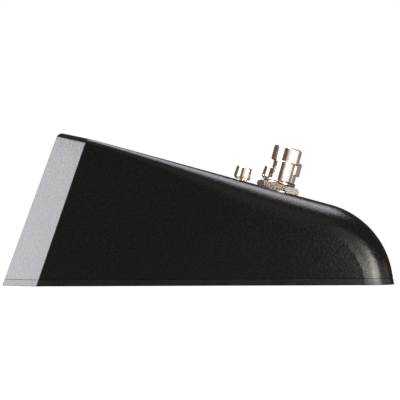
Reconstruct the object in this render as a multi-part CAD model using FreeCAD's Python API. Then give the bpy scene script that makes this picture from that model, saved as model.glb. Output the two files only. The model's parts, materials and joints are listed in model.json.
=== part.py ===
"""Two-button floor pedal in a wedge-shaped cast box.

Frame: +X runs from the tall rear face to the rounded nose, +Y to the side
with the far foot switch, +Z up. The origin is on the floor under the middle
of the box. Lengths are in millimetres, angles in degrees.
"""

import FreeCAD
import Part
import math
import os

Vector = FreeCAD.Vector

# --- box outline ---------------------------------------------------------
BODY_LENGTH = 140.8      # along X, where the box meets its base
BODY_WIDTH = 125.0
TOP_SLOPE = 15.6         # the top falls towards the nose
TOP_HEIGHT = 42.0        # height of the top plane over the origin
REAR_LEAN = 20.8         # the rear face leans towards the nose
NOSE_DRAFT = 9.0
NOSE_RADIUS = 29.4
CORNER_CUT = 16.0        # rear corners cut off at 45 degrees
CORNER_LEAN = 19.2       # lean of the corner facet's front edge
SIDE_RADIUS_REAR = 2.0   # the roll between top and side grows forwards
SIDE_RADIUS_NOSE = 10.5
FACET_EDGE_RADIUS = 0.6
WALL = 2.5
INNER_RADIUS = 0.5       # edges inside the casting
HOLE_REACH = 3.0         # how far a drill runs past the wall

# --- base ----------------------------------------------------------------
FOOT_PROUD = 0.3
BASE_THICKNESS = 2.2
SEAM_GROOVE = 0.12       # shadow line between the box and its base
EDGE_BREAK = 0.15
BASE_LIP_HEIGHT = 2.0
BASE_LIP_WALL = 1.2
BASE_LIP_GAP = 0.25
FOOT_RADIUS = 7.0
FOOT_THICKNESS = 1.5
FOOT_EDGE_RADIUS = 0.2
FOOT_X = 52.0
FOOT_Y = 44.0
SCREW_X_REAR = -38.0
SCREW_X_FRONT = 44.0
SCREW_Y = 51.0
SCREW_RADIUS = 1.5
SCREW_LENGTH = 10.0
SCREW_HEAD_RADIUS = 2.8
SCREW_GRIP_GAP = 0.02    # thread engagement in the boss
CROSS_LENGTH = 3.2       # cross recess in the screw head
CROSS_WIDTH = 0.8
CROSS_DEPTH = 1.0
BOSS_RADIUS = 4.0
BOSS_GAP = 0.3

# --- foot switches (heights are measured from the top face) ---------------
SWITCH_X = 29.25
SWITCH_Y = 34.0
CAP_RADIUS = 5.2
CAP_TOP = 16.8
CAP_HEIGHT = 5.5
CAP_EDGE_TOP = 0.35
CAP_EDGE_LOW = 0.2
SHAFT_RADIUS = 4.0
RUNNING_GAP = 0.06
BUSH_RADIUS = 6.0
BUSH_TOP = 4.45
BUSH_DEPTH = 8.0
NUT_FLATS = 14.0
NUT_HEIGHT = 2.4
NUT_TURN = -9.0          # one flat looks 9 degrees off the side of the box
WASHER_HEIGHT = 0.6
WASHER_RADIUS = 7.8
WASHER_TEETH = 16
TOOTH_SLOT_LENGTH = 1.3
TOOTH_SLOT_WIDTH = 0.9
SWITCH_BODY = 17.0
SWITCH_BODY_WALL = 1.0
SWITCH_BASE_HEIGHT = 4.0
SWITCH_TRAVEL = 4.5
SHAFT_REACH = 2.0        # shaft end below the roof of the can
SLIDER_HEIGHT = 3.0
SLIDER_SIZE = 12.0
SHAFT_HOLE_GAP = 0.3     # round a shaft where a can lets it through
SPRING_RADIUS = 2.2
SPRING_WIRE = 0.35
SPRING_TURNS = 5
SPRING_SOLID = 2.5       # length of the spring pressed flat
LUG_WIDTH = 2.4
LUG_LENGTH = 4.5
LUG_THICKNESS = 0.6
LUG_X = 4.5
LUG_Y = 4.0
LUG_INSIDE = 0.8         # how far a lug stands into the switch

# --- mini buttons ----------------------------------------------------------
BUTTON_LATCHED_X = 13.9
BUTTON_RELEASED_X = 24.2
BUTTON_TRAVEL = 2.7
BUTTON_TOP = 10.35       # top of a released button
BUTTON_CAP_RADIUS = 3.35
BUTTON_CAP_TOP_RADIUS = 3.05
BUTTON_CAP_HEIGHT = 4.0
BUTTON_BEVEL = 0.95      # height of the bevel under the cap
BUTTON_BEVEL_IN = 0.75
BUTTON_EDGE = 0.25
BUTTON_STEM_RADIUS = 1.8
BUTTON_STEM_REACH = 2.5  # stem end below the roof of the body
BUTTON_FLANGE = 5.6
BUTTON_FLANGE_HEIGHT = 1.5
BUTTON_BUSH_RADIUS = 3.5
BUTTON_BUSH_TOP = 2.3
BUTTON_BUSH_DEPTH = 4.5
BUTTON_NUT_FLATS = 9.0
BUTTON_NUT_HEIGHT = 1.5
BUTTON_NUT_TURN = 30.0
BUTTON_WASHER_HEIGHT = 0.4
BUTTON_WASHER_RADIUS = 4.9
BUTTON_WASHER_TEETH = 12
BUTTON_BODY = 8.0
BUTTON_BODY_WALL = 0.8
BUTTON_BODY_FLOOR = 1.0
BUTTON_BODY_BOTTOM = 16.5
BUTTON_SPRING_RADIUS = 2.2
BUTTON_SPRING_WIRE = 0.33
BUTTON_SPRING_TURNS = 5
BUTTON_LUG_WIDTH = 1.4
BUTTON_LUG_LENGTH = 3.0
BUTTON_LUG_PITCH = 2.2

# --- jack in the rear face ---------------------------------------------------
JACK_HEIGHT = 27.0
JACK_BORE_RADIUS = 3.25
JACK_BUSH_RADIUS = 4.75
JACK_BUSH_TOP = 5.0
JACK_NUT_FLATS = 12.7
JACK_NUT_HEIGHT = 2.4
JACK_WASHER_RADIUS = 7.4
JACK_WASHER_HEIGHT = 0.8
JACK_FLANGE_RADIUS = 5.95
JACK_FLANGE_HEIGHT = 2.0
JACK_BODY_WIDTH = 16.0
JACK_BODY_DEPTH = 26.0
JACK_END_WALL = 2.0
JACK_CHAMBER_GAP = 0.5   # between the bore of the bush and the wider chamber behind it
JACK_POCKET_REACH = 7.0  # side pocket for the contacts, closed on the outside
JACK_POCKET_WIDTH = 10.0
JACK_POCKET_LOW = 3.0
JACK_POCKET_TOP = 4.0
JACK_TAIL_X = 6.0
JACK_TAIL_Y = {"sleeve": -3.0, "ring": 0.0, "tip": 3.0}
JACK_TAIL_LENGTH = 3.5
JACK_TAIL_WIDTH = 2.0
JACK_CONTACT_REACH = {"sleeve": 18.0, "ring": 12.0, "tip": 6.0}

# --- hook-up wire ------------------------------------------------------------
WIRE_RADIUS = 0.6
WIRE_STUB = 5.0          # straight length square off a solder lug
WIRE_AT_LUG_END = 1.0
WIRE_UP_LUG = 2.9
WIRE_LOW = 11.5          # heights at which the wires cross the box
WIRE_HIGH = 14.5
WIRE_BEND_X = -12.0
WIRE_BEND_RISE = 1.5
WIRE_TURN_X = 0.0
WIRE_LANE_SHIFT = 2.0
LINK_SAG_X = 3.0
LINK_SAG_Z = 2.0

THREAD_PITCH = 0.75
THREAD_DEPTH = 0.3
NUT_LAND = 0.1           # flat ring left inside a nut's turned-down corners
SLACK = 0.1              # between parts that are bolted together
CLOSE = 0.001            # two lengths this near are the same

SWITCH_CAN_HEIGHT = SHAFT_REACH + SLIDER_HEIGHT + SWITCH_TRAVEL + SPRING_SOLID
HALF_LENGTH = BODY_LENGTH / 2
HALF_WIDTH = BODY_WIDTH / 2
SEAM_Z = FOOT_PROUD + BASE_THICKNESS
SIN_SLOPE = math.sin(math.radians(TOP_SLOPE))
COS_SLOPE = math.cos(math.radians(TOP_SLOPE))
TAN_SLOPE = math.tan(math.radians(TOP_SLOPE))
SIN_DRAFT = math.sin(math.radians(NOSE_DRAFT))
COS_DRAFT = math.cos(math.radians(NOSE_DRAFT))
TAN_LEAN = math.tan(math.radians(REAR_LEAN))
COS_LEAN = math.cos(math.radians(REAR_LEAN))

document = FreeCAD.newDocument("pedal")


# --- helpers -------------------------------------------------------------------
def save(name, shape):
    shape.exportStep("parts/" + name + ".step")


def cylinder(radius, low, high, x=0.0, y=0.0):
    return Part.makeCylinder(radius, high - low, Vector(x, y, low))


def cone(radius_low, radius_high, low, high, x=0.0, y=0.0):
    return Part.makeCone(radius_low, radius_high, high - low, Vector(x, y, low))


def block(size_x, size_y, low, high, x=0.0, y=0.0):
    corner = Vector(x - size_x / 2, y - size_y / 2, low)
    return Part.makeBox(size_x, size_y, high - low, corner)


def turned(points):
    """Solid of revolution about Z from (radius, height) points."""
    outline = [Vector(r, 0, z) for r, z in points]
    face = Part.Face(Part.makePolygon(outline + outline[:1]))
    return face.revolve(Vector(0, 0, 0), Vector(0, 0, 1), 360)


def threaded_tube(bore, radius, low, high):
    """Tube whose outside carries ring-shaped thread crests."""
    points = [(bore, high), (bore, low), (radius - THREAD_DEPTH, low)]
    turns = int((high - low) / THREAD_PITCH)
    pitch = (high - low) / turns
    for turn in range(turns):
        points.append((radius, low + (turn + 0.5) * pitch))
        points.append((radius - THREAD_DEPTH, low + (turn + 1) * pitch))
    return turned(points)


def hexagon(flats, low, high, turn=0.0):
    corner = flats / math.sqrt(3)
    points = []
    for step in range(7):
        angle = math.radians(60 * step + turn)
        points.append(Vector(corner * math.cos(angle), corner * math.sin(angle), low))
    return Part.Face(Part.makePolygon(points)).extrude(Vector(0, 0, high - low))


def hex_nut(flats, bore, low, high, turn=0.0):
    """Nut with its corners turned down on both faces."""
    corner = flats / math.sqrt(3)
    face = flats / 2 - NUT_LAND
    drop = (corner - face) / 2
    outline = [
        (bore, low),
        (face, low),
        (corner, low + drop),
        (corner, high - drop),
        (face, high),
        (bore, high),
    ]
    return hexagon(flats, low, high, turn).common(turned(outline))


def tooth_washer(bore, radius, low, high, teeth):
    """Flat lock washer with slots between its outer teeth."""
    washer = cylinder(radius, low, high).cut(cylinder(bore, low, high))
    slot = block(TOOTH_SLOT_LENGTH, TOOTH_SLOT_WIDTH, low, high, x=radius)
    for tooth in range(teeth):
        turned_slot = slot.copy()
        turned_slot.rotate(Vector(0, 0, 0), Vector(0, 0, 1), 360 * tooth / teeth)
        washer = washer.cut(turned_slot)
    return washer


def coil_spring(radius, wire, low, high, turns):
    """Round-wire spring standing between two faces."""
    height = high - low - 2 * wire
    helix = Part.makeHelix(height / turns, height, radius)
    helix.translate(Vector(0, 0, low + wire))
    start = Vector(radius, 0, low + wire)
    ring = Part.Wire(Part.makeCircle(wire, start, Vector(0, 1, 0)))
    return Part.Wire(helix).makePipeShell([ring], True, True)


def wire_run(points):
    """Round wire along straight runs joined by tangent arcs."""
    edges = []
    start = points[0]
    for before, corner, after in zip(points, points[1:], points[2:]):
        into = (corner - before).normalize()
        out = (after - corner).normalize()
        half_turn = into.getAngle(out) / 2
        setback = 0.45 * min((corner - before).Length, (after - corner).Length)
        radius = setback / math.tan(half_turn)
        arc_start = corner - into * setback
        arc_end = corner + out * setback
        centre_side = (out - into).normalize()
        middle = corner + centre_side * (radius / math.cos(half_turn) - radius)
        edges.append(Part.LineSegment(start, arc_start).toShape())
        edges.append(Part.Arc(arc_start, middle, arc_end).toShape())
        start = arc_end
    edges.append(Part.LineSegment(start, points[-1]).toShape())
    along = points[1] - points[0]
    ring = Part.Wire(Part.makeCircle(WIRE_RADIUS, points[0], along))
    return Part.Wire(edges).makePipeShell([ring], True, False)


def top_z(x):
    return TOP_HEIGHT - TAN_SLOPE * x


def on_top(x, y):
    """Placement of a part that is bolted square through the top face."""
    return FreeCAD.Placement(Vector(x, y, top_z(x)), FreeCAD.Rotation(Vector(0, 1, 0), TOP_SLOPE))


def rear_x(z):
    return -HALF_LENGTH + (z - FOOT_PROUD) * TAN_LEAN


def on_rear(y):
    """Placement of a part that is bolted square through the rear face."""
    turn = FreeCAD.Rotation(Vector(0, 1, 0), REAR_LEAN - 90)
    return FreeCAD.Placement(Vector(rear_x(JACK_HEIGHT), y, JACK_HEIGHT), turn)


def placed(shape, placement):
    moved = shape.copy()
    moved.Placement = placement.multiply(moved.Placement)
    return moved


# --- box ---------------------------------------------------------------------
def side_profile(inset):
    """Closed outline in the XZ plane: rear, top, nose arc, nose draft, floor."""
    low = FOOT_PROUD
    plane = TOP_HEIGHT * COS_SLOPE - inset
    rear = -HALF_LENGTH + inset / COS_LEAN
    nose = HALF_LENGTH - inset / COS_DRAFT + low * SIN_DRAFT / COS_DRAFT
    radius = NOSE_RADIUS - inset

    top_rear_z = (plane / COS_SLOPE - TAN_SLOPE * (rear - low * TAN_LEAN)) / (1 + TAN_SLOPE * TAN_LEAN)
    top_rear_x = rear + (top_rear_z - low) * TAN_LEAN

    from_top = plane - radius
    from_nose = nose * COS_DRAFT - radius
    spread = SIN_SLOPE * SIN_DRAFT - COS_SLOPE * COS_DRAFT
    centre_x = (from_top * SIN_DRAFT - COS_SLOPE * from_nose) / spread
    centre_z = (SIN_SLOPE * from_nose - COS_DRAFT * from_top) / spread

    def arc_point(angle):
        return Vector(
            centre_x + radius * math.cos(angle),
            -HALF_WIDTH + inset,
            centre_z + radius * math.sin(angle),
        )

    def point(x, z):
        return Vector(x, -HALF_WIDTH + inset, z)

    arc_first = math.pi / 2 - math.radians(TOP_SLOPE)
    arc_last = math.radians(NOSE_DRAFT)
    arc_top = arc_point(arc_first)
    arc_low = arc_point(arc_last)
    rear_low = point(rear, low)
    rear_top = point(top_rear_x, top_rear_z)
    nose_low = point(nose - low * SIN_DRAFT / COS_DRAFT, low)
    return Part.Wire([
        Part.LineSegment(rear_low, rear_top).toShape(),
        Part.LineSegment(rear_top, arc_top).toShape(),
        Part.Arc(arc_top, arc_point((arc_first + arc_last) / 2), arc_low).toShape(),
        Part.LineSegment(arc_low, nose_low).toShape(),
        Part.LineSegment(nose_low, rear_low).toShape(),
    ])


def corner_cutter(side, inset):
    """Block that cuts a rear corner off along its leaning facet."""
    rear_point = Vector(-HALF_LENGTH, side * (HALF_WIDTH - CORNER_CUT), FOOT_PROUD)
    side_point = Vector(-HALF_LENGTH + CORNER_CUT, side * HALF_WIDTH, FOOT_PROUD)
    lean = math.radians(CORNER_LEAN)
    across = (side_point - rear_point).normalize()
    upward = Vector(math.sin(lean), 0, math.cos(lean))
    outward = across.cross(upward).normalize() * -side
    upward = outward.cross(across).normalize()
    size = 2 * BODY_LENGTH
    start = rear_point - across * (size / 2) - upward * (size / 2) - outward * inset
    corners = [
        start,
        start + across * size,
        start + across * size + upward * size,
        start + upward * size,
        start,
    ]
    return Part.Face(Part.makePolygon(corners)).extrude(outward * size)


def wedge(inset, rear_radius, nose_radius, edge_radius):
    """The box's solid, drawn in by inset, with all its edges rounded."""
    solid = Part.Face(side_profile(inset)).extrude(Vector(0, BODY_WIDTH - 2 * inset, 0))
    for side in (-1, 1):
        solid = solid.cut(corner_cutter(side, inset))
    plane = TOP_HEIGHT - inset / COS_SLOPE
    radii = []
    for number, edge in enumerate(solid.Edges, start=1):
        ends = [vertex.Point for vertex in edge.Vertexes]
        on_plane = all(abs(end.z - plane + TAN_SLOPE * end.x) < CLOSE for end in ends)
        along_side = abs(ends[0].y - ends[-1].y) < CLOSE
        rises = abs(ends[0].z - ends[-1].z) > BODY_LENGTH / 4
        if on_plane and along_side:
            radii.append((number, rear_radius, nose_radius))
        elif on_plane and max(end.x for end in ends) < 0:
            radii.append((number, rear_radius, rear_radius))
        elif rises:
            radii.append((number, edge_radius, edge_radius))
    base = document.addObject("Part::Feature", "wedge")
    base.Shape = solid
    rounded = document.addObject("Part::Fillet", "rounded_wedge")
    rounded.Base = base
    rounded.Edges = radii
    document.recompute()
    return rounded.Shape.copy()


def layer(low, high):
    """Slab wider than the box, for taking a slice of it."""
    return block(2 * BODY_LENGTH, 2 * BODY_WIDTH, low, high)


def outline_chamfer(shape, z):
    """Break the outer edge of the large flat face at height z."""
    edges = []
    for face in shape.Faces:
        flat = all(abs(vertex.Point.z - z) < CLOSE for vertex in face.Vertexes)
        if flat and face.BoundBox.XLength > BODY_LENGTH / 2:
            edges = face.OuterWire.Edges
    return shape.makeChamfer(EDGE_BREAK, edges)


def screw_places():
    for x in (SCREW_X_REAR, SCREW_X_FRONT):
        for y in (-SCREW_Y, SCREW_Y):
            yield x, y


def foot_places():
    for x in (-FOOT_X, FOOT_X):
        for y in (-FOOT_Y, FOOT_Y):
            yield x, y


def drill(bush_radius):
    """Hole through the wall for a threaded bush, with the wall's face at height 0."""
    return cylinder(bush_radius + SLACK, -WALL - HOLE_REACH, HOLE_REACH)


def enclosure_shell(outer, inner):
    shell = outer.common(layer(SEAM_Z, BODY_WIDTH)).cut(inner)
    shell = outline_chamfer(shell, SEAM_Z)
    for x, y in screw_places():
        boss = cylinder(BOSS_RADIUS, SEAM_Z, top_z(x) - WALL / 2, x, y)
        shell = shell.fuse(boss.common(outer))
    for x, y in screw_places():
        shell = shell.cut(cylinder(SCREW_RADIUS + SCREW_GRIP_GAP, 0, SEAM_Z + SCREW_LENGTH, x, y))
    for y in (-SWITCH_Y, SWITCH_Y):
        shell = shell.cut(placed(drill(BUSH_RADIUS), on_top(SWITCH_X, y)))
    for x in (BUTTON_LATCHED_X, BUTTON_RELEASED_X):
        shell = shell.cut(placed(drill(BUTTON_BUSH_RADIUS), on_top(x, 0)))
    return shell.cut(placed(drill(JACK_BUSH_RADIUS), on_rear(0))).removeSplitter()


def base_plate(outer):
    plate = outer.common(layer(0, SEAM_Z - SEAM_GROOVE))
    plate = outline_chamfer(plate, FOOT_PROUD)
    neck = wedge(SEAM_GROOVE, SIDE_RADIUS_REAR, SIDE_RADIUS_NOSE - SEAM_GROOVE, FACET_EDGE_RADIUS)
    plate = plate.fuse(neck.common(layer(SEAM_Z - SEAM_GROOVE, SEAM_Z)))
    lip_inset = WALL + BASE_LIP_GAP
    lip_radius = SIDE_RADIUS_NOSE - WALL
    lip_outside = wedge(lip_inset, INNER_RADIUS, lip_radius, INNER_RADIUS)
    lip_inside = wedge(lip_inset + BASE_LIP_WALL, INNER_RADIUS, lip_radius - BASE_LIP_WALL, INNER_RADIUS)
    lip = lip_outside.cut(lip_inside).common(layer(SEAM_Z, SEAM_Z + BASE_LIP_HEIGHT))
    plate = plate.fuse(lip)
    for x, y in foot_places():
        pocket = cylinder(FOOT_RADIUS + SLACK, 0, FOOT_THICKNESS, x, y)
        plate = plate.cut(pocket)
    for x, y in screw_places():
        plate = plate.cut(cylinder(BOSS_RADIUS + BOSS_GAP, SEAM_Z, SEAM_Z + BASE_LIP_HEIGHT, x, y))
        plate = plate.cut(cylinder(SCREW_RADIUS + SLACK, 0, SEAM_Z, x, y))
        plate = plate.cut(screw_head(x, y))
    return plate.removeSplitter()


def rubber_feet():
    feet = []
    for x, y in foot_places():
        foot = cylinder(FOOT_RADIUS, 0, FOOT_THICKNESS, x, y)
        bottom = [edge for edge in foot.Edges if abs(edge.BoundBox.ZMax) < CLOSE]
        feet.append(foot.makeFillet(FOOT_EDGE_RADIUS, bottom))
    return Part.makeCompound(feet)


def screw_head(x, y):
    """Countersunk head, flush with the underside of the base."""
    depth = SCREW_HEAD_RADIUS - SCREW_RADIUS
    return cone(SCREW_HEAD_RADIUS, SCREW_RADIUS, FOOT_PROUD, FOOT_PROUD + depth, x, y)


def base_screws():
    screws = []
    for x, y in screw_places():
        shank = cylinder(SCREW_RADIUS, FOOT_PROUD, FOOT_PROUD + SCREW_LENGTH, x, y)
        screw = shank.fuse(screw_head(x, y))
        for size_x, size_y in ((CROSS_LENGTH, CROSS_WIDTH), (CROSS_WIDTH, CROSS_LENGTH)):
            screw = screw.cut(block(size_x, size_y, 0, FOOT_PROUD + CROSS_DEPTH, x, y))
        screws.append(screw)
    return Part.makeCompound(screws)


# --- foot switch ---------------------------------------------------------------
def lug(x, y, low, high, width):
    """Flat solder lug with an eye near its free end."""
    strip = block(LUG_THICKNESS, width, low, high, x, y)
    start = Vector(x - LUG_THICKNESS, y, low + width / 2)
    eye = Part.makeCylinder(width / 4, 2 * LUG_THICKNESS, start, Vector(1, 0, 0))
    return strip.cut(eye)


def foot_switch():
    """Pieces of one foot switch, with the top face of the box at height 0."""
    can_top = -BUSH_DEPTH
    can_low = can_top - SWITCH_CAN_HEIGHT
    base_low = can_low - SWITCH_BASE_HEIGHT
    pieces = {}
    pieces["bushing"] = threaded_tube(SHAFT_RADIUS + RUNNING_GAP, BUSH_RADIUS, can_top, BUSH_TOP)
    pieces["lock_washer"] = tooth_washer(BUSH_RADIUS + SLACK, WASHER_RADIUS, 0, WASHER_HEIGHT, WASHER_TEETH)
    nut_bore = BUSH_RADIUS + SLACK / 2
    nut_top = WASHER_HEIGHT + NUT_HEIGHT
    pieces["hex_nut"] = hex_nut(NUT_FLATS, nut_bore, WASHER_HEIGHT, nut_top, NUT_TURN)
    pieces["back_nut"] = hex_nut(NUT_FLATS, nut_bore, -WALL - NUT_HEIGHT, -WALL, NUT_TURN)

    cap_low = CAP_TOP - CAP_HEIGHT
    shaft_low = can_top - SHAFT_REACH
    pieces["plunger"] = turned([
        (0, shaft_low),
        (SHAFT_RADIUS, shaft_low),
        (SHAFT_RADIUS, cap_low),
        (CAP_RADIUS - CAP_EDGE_LOW, cap_low),
        (CAP_RADIUS, cap_low + CAP_EDGE_LOW),
        (CAP_RADIUS, CAP_TOP - CAP_EDGE_TOP),
        (CAP_RADIUS - CAP_EDGE_TOP, CAP_TOP),
        (0, CAP_TOP),
    ])
    slider_low = shaft_low - SLIDER_HEIGHT
    pieces["contact_slider"] = block(SLIDER_SIZE, SLIDER_SIZE, slider_low, shaft_low)

    can = block(SWITCH_BODY, SWITCH_BODY, can_low, can_top)
    hollow = SWITCH_BODY - 2 * SWITCH_BODY_WALL
    can = can.cut(block(hollow, hollow, can_low, can_top - SWITCH_BODY_WALL))
    pieces["can"] = can.cut(cylinder(SHAFT_RADIUS + SHAFT_HOLE_GAP, can_low, can_top))

    terminal_base = block(SWITCH_BODY, SWITCH_BODY, base_low, can_low)
    lugs = []
    for x in (-LUG_X, 0, LUG_X):
        for y in (-LUG_Y, LUG_Y):
            slot = block(LUG_THICKNESS, LUG_WIDTH, base_low, can_low, x, y)
            terminal_base = terminal_base.cut(slot)
            lugs.append(lug(x, y, base_low - LUG_LENGTH, can_low + LUG_INSIDE, LUG_WIDTH))
    pieces["terminal_base"] = terminal_base
    pieces["lugs"] = Part.makeCompound(lugs)
    pieces["spring"] = coil_spring(SPRING_RADIUS, SPRING_WIRE, can_low, slider_low, SPRING_TURNS)
    return pieces


# --- mini button ---------------------------------------------------------------
def mini_button(pressed):
    """Pieces of one push button; pressed is how far it is latched in."""
    body_top = -BUTTON_BUSH_DEPTH
    body_low = -BUTTON_BODY_BOTTOM
    pieces = {}
    bore = BUTTON_STEM_RADIUS + RUNNING_GAP
    pieces["bushing"] = threaded_tube(bore, BUTTON_BUSH_RADIUS, body_top, BUTTON_BUSH_TOP)
    nut_bore = BUTTON_BUSH_RADIUS + SLACK / 2
    washer_top = BUTTON_WASHER_HEIGHT
    pieces["lock_washer"] = tooth_washer(nut_bore, BUTTON_WASHER_RADIUS, 0, washer_top, BUTTON_WASHER_TEETH)
    nut_top = washer_top + BUTTON_NUT_HEIGHT
    pieces["hex_nut"] = hex_nut(BUTTON_NUT_FLATS, nut_bore, washer_top, nut_top, BUTTON_NUT_TURN)

    top = BUTTON_TOP - pressed
    cap_low = top - BUTTON_CAP_HEIGHT
    bevel_low = cap_low - BUTTON_BEVEL
    stem_low = body_top - BUTTON_STEM_REACH - pressed
    pieces["cap"] = turned([
        (0, bevel_low),
        (BUTTON_CAP_RADIUS - BUTTON_BEVEL_IN, bevel_low),
        (BUTTON_CAP_RADIUS, cap_low),
        (BUTTON_CAP_TOP_RADIUS, top - BUTTON_EDGE),
        (BUTTON_CAP_TOP_RADIUS - BUTTON_EDGE, top),
        (0, top),
    ])
    stem = cylinder(BUTTON_STEM_RADIUS, stem_low, bevel_low)
    flange_low = stem_low - BUTTON_FLANGE_HEIGHT
    flange = block(BUTTON_FLANGE, BUTTON_FLANGE, flange_low, stem_low)
    pieces["stem"] = stem.fuse(flange).removeSplitter()

    floor_top = body_low + BUTTON_BODY_FLOOR
    hollow = BUTTON_BODY - 2 * BUTTON_BODY_WALL
    body = block(BUTTON_BODY, BUTTON_BODY, body_low, body_top)
    body = body.cut(block(hollow, hollow, floor_top, body_top - BUTTON_BODY_WALL))
    body = body.cut(cylinder(BUTTON_STEM_RADIUS + SHAFT_HOLE_GAP, floor_top, body_top))
    lugs = []
    for y in (-BUTTON_LUG_PITCH, 0, BUTTON_LUG_PITCH):
        body = body.cut(block(LUG_THICKNESS, BUTTON_LUG_WIDTH, body_low, floor_top, 0, y))
        lugs.append(lug(0, y, body_low - BUTTON_LUG_LENGTH, floor_top, BUTTON_LUG_WIDTH))
    pieces["body"] = body
    pieces["lugs"] = Part.makeCompound(lugs)
    pieces["spring"] = coil_spring(
        BUTTON_SPRING_RADIUS, BUTTON_SPRING_WIRE, floor_top, flange_low, BUTTON_SPRING_TURNS
    )
    return pieces


# --- jack ------------------------------------------------------------------------
def jack():
    """Pieces of the plug socket, with the rear face of the box at height 0."""
    body_top = -WALL
    body_low = body_top - JACK_BODY_DEPTH
    pieces = {}
    bush = threaded_tube(JACK_BORE_RADIUS, JACK_BUSH_RADIUS, body_top, JACK_BUSH_TOP)
    flange_low = body_top - JACK_FLANGE_HEIGHT
    flange = cylinder(JACK_FLANGE_RADIUS, flange_low, body_top)
    flange = flange.cut(cylinder(JACK_BORE_RADIUS, flange_low, body_top))
    pieces["bushing"] = bush.fuse(flange).removeSplitter()
    nut_bore = JACK_BUSH_RADIUS + SLACK / 2
    washer = cylinder(JACK_WASHER_RADIUS, 0, JACK_WASHER_HEIGHT)
    pieces["washer"] = washer.cut(cylinder(nut_bore, 0, JACK_WASHER_HEIGHT))
    nut_top = JACK_WASHER_HEIGHT + JACK_NUT_HEIGHT
    pieces["nut"] = hex_nut(JACK_NUT_FLATS, nut_bore, JACK_WASHER_HEIGHT, nut_top)

    body = block(JACK_BODY_WIDTH, JACK_BODY_WIDTH, body_low, body_top)
    body = body.cut(cylinder(JACK_FLANGE_RADIUS, flange_low, body_top))
    chamber = cylinder(JACK_BORE_RADIUS + JACK_CHAMBER_GAP, body_low + JACK_END_WALL, body_top)
    body = body.cut(chamber)
    pocket_low = body_low + JACK_POCKET_LOW
    pocket_top = body_top - JACK_POCKET_TOP
    pocket_x = JACK_POCKET_REACH / 2
    pocket = block(JACK_POCKET_REACH, JACK_POCKET_WIDTH, pocket_low, pocket_top, pocket_x, 0)
    body = body.cut(pocket)
    tip_size = JACK_TAIL_X - JACK_BORE_RADIUS
    tip_x = JACK_BORE_RADIUS + LUG_THICKNESS / 2 + tip_size / 2
    width = JACK_TAIL_WIDTH
    for name, reach in JACK_CONTACT_REACH.items():
        y = JACK_TAIL_Y[name]
        top = body_low + reach
        body = body.cut(block(LUG_THICKNESS, width, body_low, pocket_low, JACK_TAIL_X, y))
        blade = block(LUG_THICKNESS, width, body_low - JACK_TAIL_LENGTH, top, JACK_TAIL_X, y)
        tip = block(tip_size, width, top - LUG_THICKNESS, top, tip_x, y)
        pieces[name + "_contact"] = blade.fuse(tip).removeSplitter()
    pieces["body"] = body
    return pieces


# --- wires -----------------------------------------------------------------------
def jack_end(contact):
    """A jack tail's end, and a point straight out from it."""
    depth = -WALL - JACK_BODY_DEPTH - JACK_TAIL_LENGTH
    place = on_rear(0)
    y = JACK_TAIL_Y[contact]
    end = place.multVec(Vector(JACK_TAIL_X, y, depth))
    return end, place.multVec(Vector(JACK_TAIL_X, y, depth - WIRE_STUB))


def switch_end(switch_y, lug_y, up_lug):
    """The rear face of a foot switch's rear lug, and a point straight off it."""
    lug_end = -BUSH_DEPTH - SWITCH_CAN_HEIGHT - SWITCH_BASE_HEIGHT - LUG_LENGTH
    depth = lug_end + up_lug
    place = on_top(SWITCH_X, switch_y)
    face_x = -LUG_X - LUG_THICKNESS / 2
    end = place.multVec(Vector(face_x, lug_y, depth))
    return end, place.multVec(Vector(face_x - WIRE_STUB, lug_y, depth))


def jack_wire(contact, side, lug_side, level):
    """Wire from a jack contact to the foot switch on the given side."""
    start, off_jack = jack_end(contact)
    end, off_lug = switch_end(side * SWITCH_Y, lug_side * LUG_Y, WIRE_AT_LUG_END)
    lane = off_jack.y + side * WIRE_LANE_SHIFT
    bend = Vector(WIRE_BEND_X, lane, level + WIRE_BEND_RISE)
    turn = Vector(WIRE_TURN_X, (lane + off_lug.y) / 2, level)
    return wire_run([start, off_jack, bend, turn, off_lug, end])


def link_wire():
    """Common wire between the inner lugs of the two foot switches."""
    near, off_near = switch_end(-SWITCH_Y, LUG_Y, WIRE_UP_LUG)
    far, off_far = switch_end(SWITCH_Y, -LUG_Y, WIRE_UP_LUG)
    middle = Vector(off_near.x - LINK_SAG_X, 0, off_near.z - LINK_SAG_Z)
    return wire_run([near, off_near, middle, off_far, far])


# --- assembly ----------------------------------------------------------------
os.makedirs("parts", exist_ok=True)

box_outer = wedge(0, SIDE_RADIUS_REAR, SIDE_RADIUS_NOSE, FACET_EDGE_RADIUS)
box_inner = wedge(WALL, INNER_RADIUS, SIDE_RADIUS_NOSE - WALL, INNER_RADIUS)
save("enclosure_shell", enclosure_shell(box_outer, box_inner))
save("base_plate", base_plate(box_outer))
save("rubber_feet", rubber_feet())
save("base_screws", base_screws())

for side_name, switch_y in (("near", -SWITCH_Y), ("far", SWITCH_Y)):
    for piece_name, piece in foot_switch().items():
        save(side_name + "_switch_" + piece_name, placed(piece, on_top(SWITCH_X, switch_y)))

buttons = (("rear_button", BUTTON_LATCHED_X, BUTTON_TRAVEL), ("front_button", BUTTON_RELEASED_X, 0.0))
for button_name, button_x, latched_by in buttons:
    for piece_name, piece in mini_button(latched_by).items():
        save(button_name + "_" + piece_name, placed(piece, on_top(button_x, 0)))

for piece_name, piece in jack().items():
    save("jack_" + piece_name, placed(piece, on_rear(0)))

save("tip_wire", jack_wire("tip", 1, 1, WIRE_LOW))
save("ring_wire", jack_wire("ring", -1, -1, WIRE_HIGH))
save("sleeve_wire", jack_wire("sleeve", -1, 1, WIRE_LOW))
save("link_wire", link_wire())
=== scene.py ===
"""Looks of the two-button floor pedal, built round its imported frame. Lengths are in metres."""
import json
import math

import bpy
from mathutils import Matrix, Vector

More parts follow.
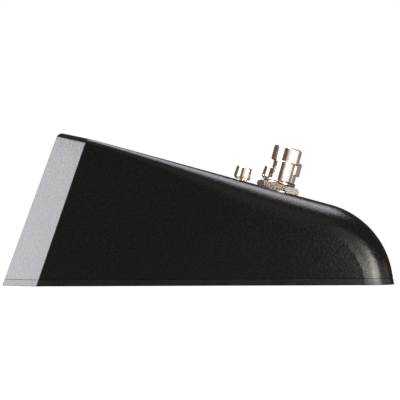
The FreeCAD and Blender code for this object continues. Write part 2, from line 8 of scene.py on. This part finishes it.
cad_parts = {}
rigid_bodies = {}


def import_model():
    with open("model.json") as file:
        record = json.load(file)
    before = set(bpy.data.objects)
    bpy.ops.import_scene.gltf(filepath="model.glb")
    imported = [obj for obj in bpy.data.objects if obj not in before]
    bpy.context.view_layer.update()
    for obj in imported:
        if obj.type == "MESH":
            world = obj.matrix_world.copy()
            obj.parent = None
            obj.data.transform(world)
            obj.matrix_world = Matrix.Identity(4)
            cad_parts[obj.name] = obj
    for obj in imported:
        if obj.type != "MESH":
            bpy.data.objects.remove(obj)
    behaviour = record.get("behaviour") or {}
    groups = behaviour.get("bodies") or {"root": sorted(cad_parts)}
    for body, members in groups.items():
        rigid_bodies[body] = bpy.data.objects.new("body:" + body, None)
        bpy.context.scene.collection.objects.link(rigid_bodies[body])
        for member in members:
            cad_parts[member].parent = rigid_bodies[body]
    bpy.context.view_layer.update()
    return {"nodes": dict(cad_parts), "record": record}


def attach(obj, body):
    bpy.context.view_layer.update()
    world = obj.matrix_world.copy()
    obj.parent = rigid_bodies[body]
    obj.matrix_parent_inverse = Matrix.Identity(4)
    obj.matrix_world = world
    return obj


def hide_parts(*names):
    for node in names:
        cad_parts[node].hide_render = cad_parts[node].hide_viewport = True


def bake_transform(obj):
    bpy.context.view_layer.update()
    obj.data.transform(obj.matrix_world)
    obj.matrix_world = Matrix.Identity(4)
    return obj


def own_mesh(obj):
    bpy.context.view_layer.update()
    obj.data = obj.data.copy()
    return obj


MM = 0.001

# --- camera ----------------------------------------------------------------
CAMERA_PLACE = (38.5 * MM, -492.5 * MM, 11.65 * MM)
CAMERA_YAW = 0.0818       # radians to the left of +Y
CAMERA_PITCH = 0.0426     # radians up
CAMERA_ROLL = -0.0058     # radians
CAMERA_LENS = 112.04      # millimetres, as is the sensor
CAMERA_SENSOR = 36.0
CAMERA_NEAREST = 10 * MM

# --- surroundings ------------------------------------------------------------
FLOOR_SIZE = 6.0
FLOOR_COLOUR = (0.22, 0.21, 0.205)   # what the floor throws back on the object
FLOOR_SEEN = 1.02         # the floor as the camera sees it, well lit
SKY_COLOUR = (1.0, 1.0, 1.0)
DIM_COLOUR = (0.075, 0.055, 0.043)   # the room between the lights

# Soft lights far away: azimuth and elevation in degrees as seen from the object, where azimuth 0 is -Y
# and 90 is +X, then the radius and the soft edge in degrees, the colour, and the strength.
FAR_LIGHTS = (
    # bright stripe on the left of the nickel
    (-50, 16, 20, 8, (1.0, 0.99, 0.97), 1.5),
    # highlight on the roll of the nose
    (52, 9, 6, 12, (1.0, 0.95, 0.88), 16.0),
    # soft halo round it, and another stripe on the nickel
    (32, 12, 4, 27, (1.0, 0.95, 0.86), 1.2),
    # bright band along the roll of the top
    (172, 74, 13, 15, (0.98, 0.945, 1.0), 7.0),
    # soft lower edge of that band
    (0, 50, 8, 14, (1.0, 0.98, 0.96), 0.5),
    # warm tint in the nickel's dark stripes, and a little of it on the side
    (-55, 4, 85, 20, (1.0, 0.68, 0.52), 0.06),
)

# Soft boxes that stand near: place, the point they face, width, height, colour and brightness. The camera
# doesn't see them.
SOFT_BOXES = (
    # beside the chamfer at the near rear corner
    ((-0.13, -0.047, 0.045), (-0.06, -0.047, 0.04), 0.076, 0.09, (0.955, 0.945, 1.0), 9.0),
    # low, by the nose, for the glow on the side there
    ((0.115, -0.165, 0.012), (0.03, -0.062, 0.02), 0.10, 0.022, (1.0, 0.95, 0.86), 10.0),
    # cards that the right of the near foot switch mirrors, the second one on the nose's edge too
    ((0.141, -0.153, 0.022), (0.034, -0.034, 0.045), 0.104, 0.042, (0.95, 0.85, 0.77), 0.72),
    ((0.193, -0.055, 0.022), (0.034, -0.034, 0.045), 0.132, 0.042, (1.0, 0.95, 0.89), 0.9),
)

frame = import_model()
nodes_of_frame = frame["nodes"]


# --- materials -----------------------------------------------------------------
STAMPED = ("switch_hex_nut", "switch_back_nut")   # nuts with a coarser finish under their plating
NOISE_LOW = 0.35          # noise below this counts as none, and above the next as full
NOISE_HIGH = 0.65
SMOOTHEST = 0.02          # lowest roughness
BLACK_SPECULAR = 0.3      # specular level of the black shell and base, where Blender starts at 0.5


class Surface:
    """A principled material with its texture coordinates ready."""

    def __init__(self, name, colour, roughness, metallic=0.0):
        self.material = bpy.data.materials.new(name)
        self.material.use_nodes = True
        self.tree = self.material.node_tree
        self.shader = self.tree.nodes["Principled BSDF"]
        self.shader.inputs["Base Color"].default_value = (*colour, 1.0)
        self.shader.inputs["Roughness"].default_value = roughness
        self.shader.inputs["Metallic"].default_value = metallic
        self.colour = colour
        self.roughness = roughness
        self.coordinates = self.node("ShaderNodeTexCoord").outputs["Object"]
        self.relief = None

    def node(self, kind, **settings):
        """A new shader node with the given settings."""
        made = self.tree.nodes.new(kind)
        for key, value in settings.items():
            setattr(made, key, value)
        return made

    def link(self, source, target):
        self.tree.links.new(source, target)

    def stretched(self, scale):
        """Texture coordinates scaled along each axis."""
        mapping = self.node("ShaderNodeMapping")
        mapping.inputs["Scale"].default_value = scale
        self.link(self.coordinates, mapping.inputs["Vector"])
        return mapping.outputs["Vector"]

    def noise(self, size, detail=2.0, vector=None):
        """Noise whose features are about size across."""
        made = self.node("ShaderNodeTexNoise")
        made.inputs["Scale"].default_value = 1.0 / size
        made.inputs["Detail"].default_value = detail
        self.link(vector or self.coordinates, made.inputs["Vector"])
        return made.outputs["Fac"]

    def ranged(self, value, low, high):
        """Spreads noise over the range from low to high."""
        made = self.node("ShaderNodeMapRange")
        made.inputs["From Min"].default_value = NOISE_LOW
        made.inputs["From Max"].default_value = NOISE_HIGH
        made.inputs["To Min"].default_value = low
        made.inputs["To Max"].default_value = high
        self.link(value, made.inputs["Value"])
        return made.outputs["Result"]

    def vary_roughness(self, value, spread):
        """Lets the roughness wander by spread to each side."""
        low = max(SMOOTHEST, self.roughness - spread)
        self.link(self.ranged(value, low, self.roughness + spread), self.shader.inputs["Roughness"])

    def vary_colour(self, value, darker, lighter):
        """Lets the colour wander between darker and lighter times itself."""
        mix = self.node("ShaderNodeMix", data_type="RGBA")
        mix.inputs["A"].default_value = (*[c * darker for c in self.colour], 1.0)
        mix.inputs["B"].default_value = (*[min(1.0, c * lighter) for c in self.colour], 1.0)
        self.link(self.ranged(value, 0.0, 1.0), mix.inputs["Factor"])
        self.link(mix.outputs["Result"], self.shader.inputs["Base Color"])

    def bump(self, value, depth):
        """Adds relief of the given depth on top of what is there already."""
        made = self.node("ShaderNodeBump")
        made.inputs["Distance"].default_value = depth
        made.inputs["Strength"].default_value = 1.0
        self.link(value, made.inputs["Height"])
        if self.relief is not None:
            self.link(self.relief, made.inputs["Normal"])
        self.relief = made.outputs["Normal"]
        self.link(self.relief, self.shader.inputs["Normal"])


def powder_coat():
    """Fine-grained black powder coat on the casting."""
    coat = Surface("shell_coat", (0.0043, 0.0042, 0.0040), roughness=0.24)
    coat.shader.inputs["Specular IOR Level"].default_value = BLACK_SPECULAR
    grain = coat.noise(0.6 * MM, detail=3.0)
    coat.bump(grain, depth=0.04 * MM)
    coat.bump(coat.noise(1.5 * MM, detail=1.0), depth=0.03 * MM)
    coat.vary_roughness(coat.noise(0.8 * MM, detail=2.0), spread=0.06)
    coat.vary_colour(grain, darker=0.85, lighter=1.2)
    return coat.material


def base_plastic():
    """Smooth satin black moulding of the base plate."""
    plastic = Surface("base_plastic", (0.0072, 0.0074, 0.0084), roughness=0.3)
    plastic.shader.inputs["Specular IOR Level"].default_value = BLACK_SPECULAR
    plastic.bump(plastic.noise(1.2 * MM, detail=2.0), depth=0.006 * MM)
    plastic.vary_roughness(plastic.noise(3.0 * MM, detail=3.0), spread=0.05)
    plastic.vary_colour(plastic.noise(6.0 * MM, detail=2.0), darker=0.85, lighter=1.15)
    return plastic.material


def nickel(name, roughness, size, depth):
    """Nickel plate over marks of the given size and depth."""
    plate = Surface(name, (0.88, 0.83, 0.76), roughness, metallic=1.0)
    plate.bump(plate.noise(size, detail=2.0), depth)
    plate.vary_roughness(plate.noise(1.5 * MM, detail=4.0), spread=0.05)
    plate.vary_colour(plate.noise(2.5 * MM, detail=3.0), darker=0.93, lighter=1.04)
    return plate.material


def zinc_steel():
    """Dull zinc plate on the cans, lock washers and button stems."""
    zinc = Surface("zinc_steel", (0.60, 0.60, 0.58), roughness=0.30, metallic=1.0)
    zinc.bump(zinc.noise(0.35 * MM, detail=2.0), depth=0.006 * MM)
    zinc.vary_roughness(zinc.noise(2.0 * MM, detail=4.0), spread=0.09)
    zinc.vary_colour(zinc.noise(3.0 * MM, detail=3.0), darker=0.85, lighter=1.08)
    return zinc.material


def spring_steel():
    """Drawn spring wire."""
    steel = Surface("spring_steel", (0.42, 0.42, 0.43), roughness=0.25, metallic=1.0)
    steel.bump(steel.noise(0.25 * MM, detail=2.0), depth=0.003 * MM)
    steel.vary_roughness(steel.noise(0.9 * MM, detail=3.0), spread=0.08)
    return steel.material


def brass():
    """Tinned brass, a little tarnished, on the lugs and contacts."""
    metal = Surface("contact_brass", (0.78, 0.60, 0.32), roughness=0.24, metallic=1.0)
    metal.bump(metal.noise(0.4 * MM, detail=2.0), depth=0.004 * MM)
    metal.vary_roughness(metal.noise(1.2 * MM, detail=3.0), spread=0.08)
    metal.vary_colour(metal.noise(1.8 * MM, detail=3.0), darker=0.8, lighter=1.1)
    return metal.material


def black_steel():
    """Blackened steel of the base screws."""
    steel = Surface("black_steel", (0.045, 0.045, 0.05), roughness=0.36, metallic=0.9)
    steel.bump(steel.noise(0.3 * MM, detail=2.0), depth=0.004 * MM)
    steel.vary_roughness(steel.noise(1.0 * MM, detail=3.0), spread=0.1)
    return steel.material


def phenolic():
    """Brown phenolic with fibres along X, for the terminal bases."""
    board = Surface("phenolic", (0.30, 0.10, 0.045), roughness=0.48)
    fibres = board.noise(0.5 * MM, detail=3.0, vector=board.stretched((1.0, 5.0, 5.0)))
    board.bump(fibres, depth=0.008 * MM)
    board.vary_roughness(fibres, spread=0.08)
    board.vary_colour(fibres, darker=0.75, lighter=1.25)
    return board.material


def moulded(name, colour, roughness, grain):
    """Moulded plastic or rubber with a grain of the given size."""
    plastic = Surface(name, colour, roughness)
    plastic.bump(plastic.noise(grain, detail=2.0), depth=0.006 * MM)
    plastic.vary_roughness(plastic.noise(3.0 * grain, detail=3.0), spread=0.07)
    plastic.vary_colour(plastic.noise(6.0 * grain, detail=2.0), darker=0.88, lighter=1.12)
    return plastic.material


def make_materials():
    """One material for each material slot of the record, and one for the stamped nuts."""
    return {
        "shell_coat": powder_coat(),
        "base_plastic": base_plastic(),
        "foot_rubber": moulded("foot_rubber", (0.022, 0.022, 0.023), roughness=0.72, grain=0.5 * MM),
        "black_steel": black_steel(),
        "nickel": nickel("nickel", roughness=0.12, size=1.2 * MM, depth=0.0003 * MM),
        "rough_nickel": nickel("rough_nickel", roughness=0.26, size=0.6 * MM, depth=0.09 * MM),
        "zinc_steel": zinc_steel(),
        "spring_steel": spring_steel(),
        "contact_brass": brass(),
        "phenolic": phenolic(),
        "nylon": moulded("nylon", (0.78, 0.76, 0.70), roughness=0.42, grain=0.4 * MM),
        "black_plastic": moulded("black_plastic", (0.022, 0.022, 0.022), roughness=0.42, grain=0.4 * MM),
        "wire_white": moulded("wire_white", (0.76, 0.76, 0.73), roughness=0.38, grain=0.5 * MM),
        "wire_red": moulded("wire_red", (0.50, 0.03, 0.02), roughness=0.38, grain=0.5 * MM),
        "wire_black": moulded("wire_black", (0.02, 0.02, 0.02), roughness=0.38, grain=0.5 * MM),
    }


def paint_frame(materials):
    """Gives each CAD node the material of its slot, apart from the stamped nuts."""
    for row in frame["record"]["subparts"]:
        mesh = nodes_of_frame[row["node"]].data
        mesh.materials.clear()
        slot = "rough_nickel" if row["node"].endswith(STAMPED) else row["material_slot"]
        mesh.materials.append(materials[slot])


def make_springs():
    """Stands a coil in for each return spring and hides the spring. Where the joint's axis points down,
    the coil rides on the joint's parent body; otherwise it stays where it is.
    """
    for joint in frame["record"]["behaviour"]["joints"]:
        axis = Vector(joint["axis"])
        for spring in joint["deforming_nodes"]:
            node = nodes_of_frame[spring["node"]]
            coil = bpy.data.objects.new(spring["node"] + "_coil", node.data.copy())
            bpy.context.scene.collection.objects.link(coil)
            along = sorted((vertex.co for vertex in coil.data.vertices), key=axis.dot)
            start, end = along[0].copy(), along[-1].copy()
            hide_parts(spring["node"])
            goes_in = axis.z < 0
            if goes_in:
                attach(coil, joint["parent"])
                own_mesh(coil)
            else:
                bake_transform(coil)


# --- floor, lights and camera ---------------------------------------------------
def direction(azimuth, elevation):
    """Unit vector towards a place in the sky, given in degrees."""
    turn, rise = math.radians(azimuth), math.radians(elevation)
    return Vector((math.sin(turn) * math.cos(rise), -math.cos(turn) * math.cos(rise), math.sin(rise)))


def make_floor():
    """Plain pale floor that the camera sees evenly lit."""
    mesh = bpy.data.meshes.new("floor")
    half = FLOOR_SIZE / 2
    corners = [(-half, -half, 0), (half, -half, 0), (half, half, 0), (-half, half, 0)]
    mesh.from_pydata(corners, [], [(0, 1, 2, 3)])
    floor = bpy.data.objects.new("floor", mesh)
    bpy.context.scene.collection.objects.link(floor)
    paint = Surface("floor_paint", FLOOR_COLOUR, roughness=0.6)
    paint.bump(paint.noise(3.0 * MM, detail=2.0), depth=0.02 * MM)
    paint.vary_roughness(paint.noise(40.0 * MM, detail=2.0), spread=0.06)
    seen = paint.node("ShaderNodeLightPath").outputs["Is Camera Ray"]
    glow = paint.node("ShaderNodeEmission")
    glow.inputs["Strength"].default_value = FLOOR_SEEN
    mixed = paint.node("ShaderNodeMixShader")
    paint.link(seen, mixed.inputs["Fac"])
    paint.link(paint.shader.outputs["BSDF"], mixed.inputs[1])
    paint.link(glow.outputs["Emission"], mixed.inputs[2])
    paint.link(mixed.outputs["Shader"], paint.tree.nodes["Material Output"].inputs["Surface"])
    mesh.materials.append(paint.material)


def make_world():
    """Pale backdrop for the camera, and a dim room with large soft lights for everything else."""
    world = bpy.data.worlds.new("studio")
    world.use_nodes = True
    bpy.context.scene.world = world
    nodes = world.node_tree.nodes
    links = world.node_tree.links
    background = nodes["Background"]
    looking = nodes.new("ShaderNodeTexCoord").outputs["Generated"]
    total = None
    for azimuth, elevation, radius, edge, colour, strength in FAR_LIGHTS:
        dot = nodes.new("ShaderNodeVectorMath")
        dot.operation = "DOT_PRODUCT"
        dot.inputs[1].default_value = direction(azimuth, elevation)
        links.new(looking, dot.inputs[0])
        fall = nodes.new("ShaderNodeMapRange")
        fall.interpolation_type = "SMOOTHSTEP"
        fall.inputs["From Min"].default_value = math.cos(math.radians(radius + edge))
        fall.inputs["From Max"].default_value = math.cos(math.radians(radius))
        links.new(dot.outputs["Value"], fall.inputs["Value"])
        tint = nodes.new("ShaderNodeVectorMath")
        tint.operation = "SCALE"
        tint.inputs[0].default_value = [c * strength for c in colour]
        links.new(fall.outputs["Result"], tint.inputs["Scale"])
        add = nodes.new("ShaderNodeVectorMath")
        add.operation = "ADD"
        links.new(tint.outputs["Vector"], add.inputs[0])
        if total is None:
            add.inputs[1].default_value = DIM_COLOUR
        else:
            links.new(total, add.inputs[1])
        total = add.outputs["Vector"]
    seen = nodes.new("ShaderNodeMix")
    seen.data_type = "RGBA"
    seen.inputs["B"].default_value = (*SKY_COLOUR, 1.0)
    links.new(nodes.new("ShaderNodeLightPath").outputs["Is Camera Ray"], seen.inputs["Factor"])
    links.new(total, seen.inputs["A"])
    links.new(seen.outputs["Result"], background.inputs["Color"])


def make_soft_boxes():
    """Area lights. Their power goes with their area, so brightness sets how bright they look."""
    for number, (place, target, width, height, colour, brightness) in enumerate(SOFT_BOXES):
        data = bpy.data.lights.new(f"soft_box_{number}", "AREA")
        data.shape = "RECTANGLE"
        data.size = width
        data.size_y = height
        data.color = colour
        data.energy = brightness * math.pi * width * height
        lamp = bpy.data.objects.new(f"soft_box_{number}", data)
        lamp.location = place
        lamp.visible_camera = False
        lamp.rotation_mode = "QUATERNION"
        lamp.rotation_quaternion = (Vector(target) - Vector(place)).to_track_quat("-Z", "Y")
        bpy.context.scene.collection.objects.link(lamp)


def make_camera():
    """Camera that looks along +Y, turned by its yaw, pitch and roll."""
    forward = Vector((
        -math.sin(CAMERA_YAW) * math.cos(CAMERA_PITCH),
        math.cos(CAMERA_YAW) * math.cos(CAMERA_PITCH),
        math.sin(CAMERA_PITCH),
    ))
    level = forward.cross(Vector((0, 0, 1))).normalized()
    upright = level.cross(forward)
    right = math.cos(CAMERA_ROLL) * level + math.sin(CAMERA_ROLL) * upright
    up = math.cos(CAMERA_ROLL) * upright - math.sin(CAMERA_ROLL) * level
    data = bpy.data.cameras.new("camera")
    data.sensor_width = CAMERA_SENSOR
    data.lens = CAMERA_LENS
    data.clip_start = CAMERA_NEAREST
    camera = bpy.data.objects.new("camera", data)
    turned = Matrix((right, up, -forward)).transposed().to_4x4()
    camera.matrix_world = Matrix.Translation(CAMERA_PLACE) @ turned
    bpy.context.scene.collection.objects.link(camera)
    bpy.context.scene.camera = camera


paint_frame(make_materials())
make_springs()
make_floor()
make_world()
make_soft_boxes()
make_camera()
bpy.context.scene.view_settings.view_transform = "Standard"

bpy.context.view_layer.update()
